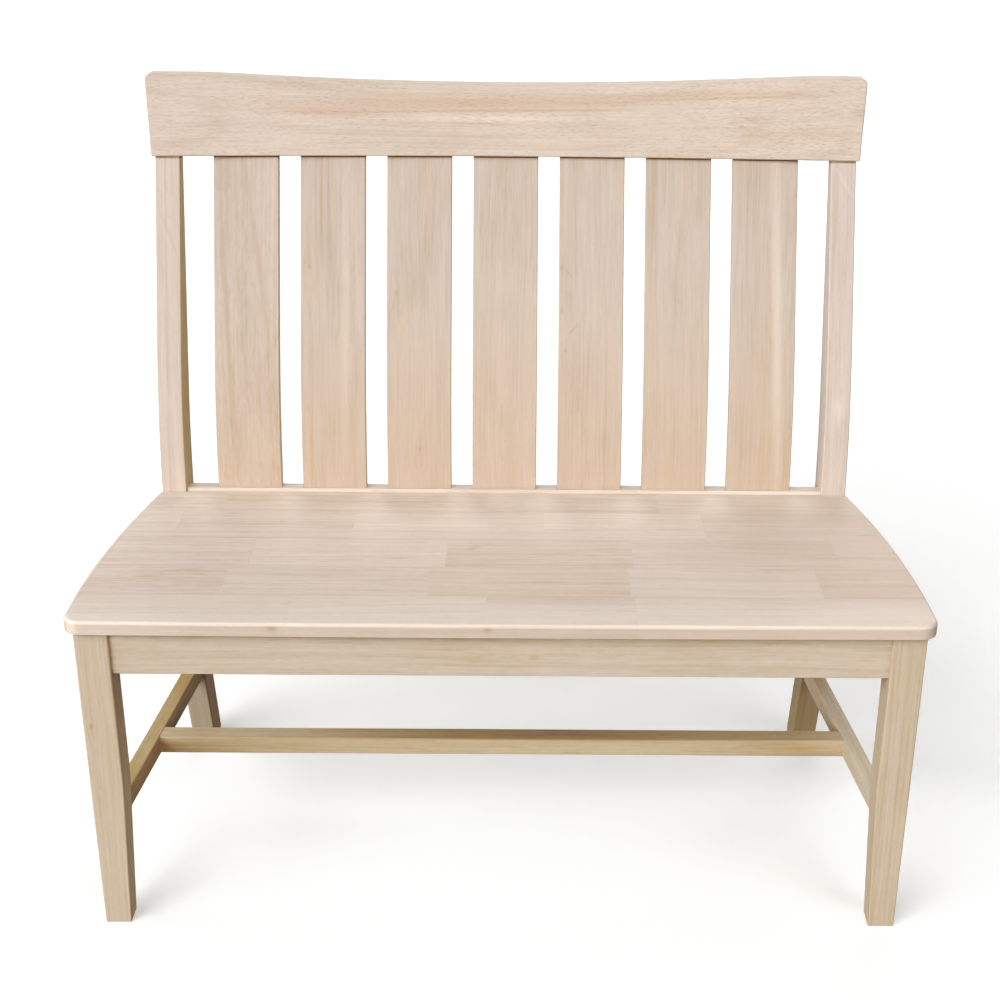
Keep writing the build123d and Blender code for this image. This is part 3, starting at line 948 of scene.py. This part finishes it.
@dataclass
class LegFrame:
    """Front legs, aprons and stretchers.

    Attributes:
        leg: Wood of the front legs.
        cross: Wood of the aprons.
        stretcher: Colours of the cross stretcher.
        side_stretchers_left_shaded: Colours of the left and the right side stretcher; the left
            one's darker, yellower colours are painted shade.
        shade: Colour of the shaded top of the cross stretcher.
        side_slant: How far the sides run inwards for each unit of depth.
    """

    leg: SandedRubberwood = SandedRubberwood(
        "rubberwood_leg", Grain.UPRIGHT, 50, LEG_WOOD, ring_mm=7,
    )
    cross: SandedRubberwood = SandedRubberwood(
        "rubberwood_apron", Grain.CROSSWISE_UPRIGHT, 60,
        Palette("ddccba", "cfbeab", "bea78d", "cdab80", "a38569"),
        marks=(Mark(41, 402, 11, 6, 0, 0.4, "b08a5e"), Mark(-30, 398, 60, 12, 2, 0.2, "bf9f7c")),
        curl_strength=0.35, line_strength=0.3,
    )
    stretcher: Palette = Palette("dbc7af", "cfbb9f", "bfa483", "cba273", "9c7950")
    side_stretchers_left_shaded: tuple[Palette, Palette] = (
        # Left side stretcher: darker, yellower colours, painted shade
        Palette("cbb596", "bfa985", "b1936b", "c0955f", "95754e"),
        Palette("e3d4c0", "d8c9b3", "c6b298", "cfae86", "a3835c"),
    )
    shade: str = "86683f"
    side_slant: float = 0.0919

    def build(self) -> None:
        """Dress the frame under the seat."""
        for number, side in enumerate(SIDES):
            lean = self.side_slant if side == "right" else -self.side_slant
            dress(f"{side}_front_leg", replace(
                self.leg, name=f"{self.leg.name}_{side}", seed=self.leg.seed + number,
                pith_mm=(0, 60), knots=(Knot(303, -516, 3),) if side == "left" else (),
            ))
            for place, kind in enumerate(("apron", "stretcher")):
                dress(f"{side}_side_{kind}", replace(
                    self.cross, name=f"rubberwood_side_{kind}_{side}", grain=Grain.DEPTHWISE,
                    seed=65 + 2 * number + place, slant=lean, marks=(),
                    palette=(self.cross.palette, self.side_stretchers_left_shaded[number])[place],
                ))
        dress("front_apron", self.cross)
        dress("cross_stretcher", replace(
            self.cross, name="rubberwood_cross_stretcher", seed=61, palette=self.stretcher,
            marks=(
                Mark(427, 155, 70, 5, 3, 0.5, "cf9a5c"), Mark(380, 160, 60, 2.5, 3, 0.4),
                Mark(60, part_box("cross_stretcher")[1].z / MM, 520, 4, 0, 0.6, self.shade),
            ),
        ))


@dataclass
class UnderSeat:
    """Corner blocks and the middle bearer.

    Attributes:
        block: Wood that they share.
    """

    block: SandedRubberwood = SandedRubberwood(
        "rubberwood_block", Grain.CROSSWISE_FLAT, 80, LEG_WOOD,
    )

    def build(self) -> None:
        """Dress the pieces that the seat hides."""
        dress("seat_brace", replace(
            self.block, name="rubberwood_bearer", grain=Grain.DEPTHWISE, seed=81,
        ))
        for number, end in enumerate(("front", "rear")):
            for place, side in enumerate(SIDES):
                dress(f"{end}_{side}_corner_block", replace(
                    self.block, name=f"rubberwood_block_{end}_{side}",
                    seed=82 + 2 * number + place,
                ))


@dataclass
class WoodScrews:
    """Pan-head wood screws with a square recess and a rolled thread.

    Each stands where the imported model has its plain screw.

    Attributes:
        nodes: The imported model's nodes of plain screws.
        length: From the underside of the head to the tip.
        head_width: Width of the head.
        head_height: Height of the head.
        head_edge: Size of the head's sloped edge.
        recess_width: Side of the square recess.
        recess_depth: Its depth.
        thread_width: Width over the thread.
        shank_width: Width of the plain length under the head.
        core_width: Width between the thread's turns.
        plain_length: Length without thread.
        tip_length: Length of the point.
        pitch: Height of one turn.
        sides: Number of flats round a screw.
    """

    nodes: tuple[str, ...] = ("corner_block_screws", "seat_screws")
    length: float = 30 * MM
    head_width: float = 8.4 * MM
    head_height: float = 3.0 * MM
    head_edge: float = 0.9 * MM
    recess_width: float = 3.0 * MM
    recess_depth: float = 1.6 * MM
    thread_width: float = 4.2 * MM
    shank_width: float = 3.78 * MM
    core_width: float = 2.9 * MM
    plain_length: float = 9.0 * MM
    tip_length: float = 5.0 * MM
    pitch: float = 1.8 * MM
    sides: int = 24

    def body(self, screw: BMesh) -> None:
        """Spin the core with its pan head, point down, and sink the square recess.

        Args:
            screw: Mesh that takes the body, its head's underside at height zero.
        """
        core, head, shank = self.core_width / 2, self.head_width / 2, self.shank_width / 2
        recess = self.recess_width * math.sqrt(0.5)
        outline = (
            (recess, self.head_height),
            (head - self.head_edge, self.head_height),
            (head - self.head_edge * 0.3, self.head_height - self.head_edge * 0.3),
            (head, self.head_height - self.head_edge),
            (head, 0),
            (shank, 0),
            (shank, -self.plain_length),
            (core, -self.plain_length - self.pitch / 2),
            (core, self.tip_length - self.length),
            (0, -self.length),
        )
        points = [screw.verts.new((reach, 0, height)) for reach, height in outline]
        edges = [screw.edges.new(pair) for pair in zip(points, points[1:])]
        bmesh.ops.spin(
            screw, geom=points + edges, axis=(0, 0, 1), cent=(0, 0, 0), angle=math.tau,
            steps=self.sides, use_merge=True,
        )
        rim = [
            edge for edge in screw.edges
            if edge.is_boundary and all(v.co.z > self.head_height / 2 for v in edge.verts)
        ]
        square = bmesh.ops.create_circle(screw, segments=4, radius=recess * 0.98,
                                         matrix=Matrix.Translation((0, 0, self.head_height)))
        corners = square["verts"]
        sides = [e for e in screw.edges if all(v in corners for v in e.verts)]
        bmesh.ops.bridge_loops(screw, edges=rim + sides)
        sunk = bmesh.ops.extrude_edge_only(screw, edges=sides)
        low = [item for item in sunk["geom"] if isinstance(item, BMVert)]
        bmesh.ops.translate(screw, verts=low, vec=(0, 0, -self.recess_depth))
        bmesh.ops.contextual_create(screw, geom=low)

    def thread(self, screw: BMesh) -> None:
        """Wind the thread as a three-sided ridge from the plain shank to the point.

        Args:
            screw: Mesh that takes the thread.
        """
        # Its root is sunk a little in the core
        root, crest = self.core_width / 2 * 0.94, self.thread_width / 2
        flank = self.pitch * 0.28
        start = -self.plain_length - self.pitch
        section = [
            screw.verts.new((root, 0, start + flank)),
            screw.verts.new((crest, 0, start)),
            screw.verts.new((root, 0, start - flank)),
        ]
        face = screw.faces.new(section)
        turns = (self.length - self.tip_length - self.plain_length - self.pitch) / self.pitch
        steps = int(turns * self.sides / 2)
        bmesh.ops.spin(
            screw, geom=[face], axis=(0, 0, 1), cent=(0, 0, 0), angle=math.tau * turns,
            dvec=(0, 0, -turns * self.pitch / steps), steps=steps,
        )

    def places(self, node: str) -> list[Matrix]:
        """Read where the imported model's screws stand.

        Args:
            node: Name of a node of screws.

        Returns:
            One matrix a screw, which takes a screw that stands head up at the origin there.
        """
        packed = bmesh.new()
        packed.from_mesh(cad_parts[node].data)
        bmesh.ops.remove_doubles(packed, verts=packed.verts[:], dist=0.01 * MM)
        # A dictionary keeps the points in order, so that each run finds the screws in one order
        left, found = dict.fromkeys(packed.verts), []
        while left:
            front, island = [left.popitem()[0]], []
            while front:
                vertex = front.pop()
                island.append(vertex.co.copy())
                for edge in vertex.link_edges:
                    other = edge.other_vert(vertex)
                    if other in left:
                        del left[other]
                        front.append(other)
            found.append(self.placed(island))
        packed.free()
        return found

    def placed(self, points: list[Vector]) -> Matrix:
        """Work out one screw's place from its points.

        Args:
            points: The points of its plain solid.

        Returns:
            Its matrix.
        """
        centre = sum(points, Vector()) / len(points)
        tip = max(points, key=lambda point: (point - centre).length)
        far = [point for point in points if (point - tip).length > self.length]
        top = sum(far, Vector()) / len(far)
        upright = (top - tip).normalized()
        seat = tip + upright * self.length
        return Matrix.Translation(seat) @ upright.to_track_quat("Z", "Y").to_matrix().to_4x4()

    def build(self) -> None:
        """Make both groups of screws in place of the plain ones."""
        one = bmesh.new()
        self.body(one)
        self.thread(one)
        bmesh.ops.recalc_face_normals(one, faces=one.faces[:])
        single = bpy.data.meshes.new("screw")
        one.to_mesh(single)
        one.free()
        for node in self.nodes:
            group = bmesh.new()
            for place in self.places(node):
                before = len(group.verts)
                group.from_mesh(single)
                group.verts.ensure_lookup_table()
                bmesh.ops.transform(group, matrix=place, verts=group.verts[before:])
            mesh = bpy.data.meshes.new(f"threaded_{node}")
            group.to_mesh(mesh)
            group.free()
            mesh.materials.append(ZINC_PLATE.material())
            piece = bpy.data.objects.new(f"threaded_{node}", mesh)
            bpy.context.scene.collection.objects.link(piece)
            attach(piece, BODY)
            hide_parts(node)
            log.info("threaded_%s: %s", node, ZINC_PLATE.name)
        bpy.data.meshes.remove(single)


# Studio


@dataclass(frozen=True)
class SoftLight:
    """A broad studio light, hung far off.

    Attributes:
        name: Its name.
        bearing_deg: Its bearing from straight ahead of the bench, to the right.
        height_deg: Its height above the horizon.
        strength: Light that falls on a surface square to it.
        width_deg: How wide it looks from the bench: wider gives softer shadows.
    """

    name: str
    bearing_deg: float
    height_deg: float
    strength: float
    width_deg: float


@dataclass
class Studio:
    """Floor, lights and camera.

    Attributes:
        eye_mm: Place of the camera.
        yaw_deg: Its turn to the right.
        pitch_deg: Its turn down.
        roll_deg: Its turn about its own line of sight.
        focal_px: Focal length, in pixels of a picture of picture_px a side.
        centre_px: Where its line of sight meets the picture.
        picture_px: Side of the picture.
        sensor_mm: Width of its sensor.
        floor_size: Side of the floor.
        wall_glow: How bright the walls are.
        lights: The lamps.
        tone_points: Brightness as it is seen and as it is printed, from dark to bright.
    """

    eye_mm: tuple[float, float, float] = (20.33, -2056.53, 1373.61)
    yaw_deg: float = 0.21
    pitch_deg: float = 23.82
    roll_deg: float = -0.46
    focal_px: float = 1619.33
    centre_px: tuple[float, float] = (523.45, 516.84)
    picture_px: float = 1000.0
    sensor_mm: float = 36.0
    floor_size: float = 80.0
    wall_glow: float = 0.93
    lights: tuple[SoftLight, ...] = (
        SoftLight("key", -40, 20, 3.25, 55),
        SoftLight("left", -90, 20, 1.2, 50),
        SoftLight("fill", 40, 20, 1.35, 50),
        SoftLight("top", 0, 90, 0.38, 60),
        SoftLight("rear", 170, 8, 2.4, 60),
    )
    tone_points: tuple[tuple[float, float], ...] = (
        (0.08, 0.035), (0.165, 0.088), (0.25, 0.195), (0.43, 0.412), (0.6, 0.588),
        (0.75, 0.755), (0.85, 0.875), (0.92, 0.97),
    )

    def camera(self) -> None:
        """Place the camera where the photograph was taken from."""
        yaw, pitch, roll = (
            math.radians(angle) for angle in (self.yaw_deg, self.pitch_deg, self.roll_deg)
        )
        level = Vector((math.sin(yaw), math.cos(yaw), 0))
        right = Vector((math.cos(yaw), -math.sin(yaw), 0))
        look = level * math.cos(pitch) - Vector((0, 0, math.sin(pitch)))
        down = look.cross(right)
        right, down = (
            right * math.cos(roll) + down * math.sin(roll),
            down * math.cos(roll) - right * math.sin(roll),
        )
        turned = Matrix((right, -down, -look)).transposed().to_4x4()
        lens = bpy.data.cameras.new("camera")
        lens.sensor_width = self.sensor_mm
        lens.lens = self.focal_px * self.sensor_mm / self.picture_px
        lens.shift_x = 0.5 - self.centre_px[0] / self.picture_px
        lens.shift_y = self.centre_px[1] / self.picture_px - 0.5
        body = bpy.data.objects.new("camera", lens)
        body.matrix_world = Matrix.Translation(Vector(self.eye_mm) * MM) @ turned
        bpy.context.scene.collection.objects.link(body)
        bpy.context.scene.camera = body

    def soft_light(self, light: SoftLight) -> None:
        """Hang a broad light so far off that it falls evenly on bench and floor.

        Args:
            light: Where it hangs and how strong and how wide it is.
        """
        lamp = bpy.data.lights.new(light.name, "SUN")
        lamp.energy = light.strength
        lamp.angle = math.radians(light.width_deg)
        hung = bpy.data.objects.new(light.name, lamp)
        bearing, height = math.radians(light.bearing_deg), math.radians(light.height_deg)
        towards = Vector((
            math.sin(bearing) * math.cos(height),
            -math.cos(bearing) * math.cos(height),
            math.sin(height),
        ))
        hung.matrix_world = towards.to_track_quat("Z", "Y").to_matrix().to_4x4()
        bpy.context.scene.collection.objects.link(hung)

    def floor(self) -> None:
        """Lay a plain pale floor."""
        sheet = bmesh.new()
        bmesh.ops.create_grid(sheet, x_segments=1, y_segments=1, size=self.floor_size / 2)
        mesh = bpy.data.meshes.new("floor")
        sheet.to_mesh(mesh)
        sheet.free()
        mesh.materials.append(PALE_FLOOR.material())
        floor = bpy.data.objects.new("floor", mesh)
        bpy.context.scene.collection.objects.link(floor)
        # Its bounce would fill the shade under the seat
        floor.visible_diffuse = False

    def walls(self) -> None:
        """Stand pale walls far off, which are seen and reflected but lend no light."""
        world = bpy.data.worlds.new("pale_walls")
        bpy.context.scene.world = world
        world.cycles_visibility.diffuse = False
        world.use_nodes = True
        world.node_tree.nodes.clear()
        glow = add_node(world.node_tree, "Background", {
            "Color": linear("ffffff"), "Strength": self.wall_glow,
        })
        add_node(world.node_tree, "OutputWorld", {"Surface": glow})

    def develop(self) -> None:
        """Print the picture as the photograph is: shadows deep, and the floor near white."""
        settings = bpy.context.scene.view_settings
        settings.view_transform = "Standard"
        settings.use_curve_mapping = True
        curve = settings.curve_mapping.curves[3]
        for seen, printed in self.tone_points:
            curve.points.new(seen, printed)
        settings.curve_mapping.update()

    def build(self) -> None:
        """Set up the whole studio."""
        self.develop()
        self.camera()
        self.floor()
        self.walls()
        for light in self.lights:
            self.soft_light(light)


def main() -> None:
    """Dress the bench piece by piece, then set the studio."""
    for group in (SeatGroup(), BackGroup(), LegFrame(), UnderSeat(), WoodScrews(), Studio()):
        log.info("%s", type(group).__name__)
        group.build()


if __name__ == "__main__":
    main()
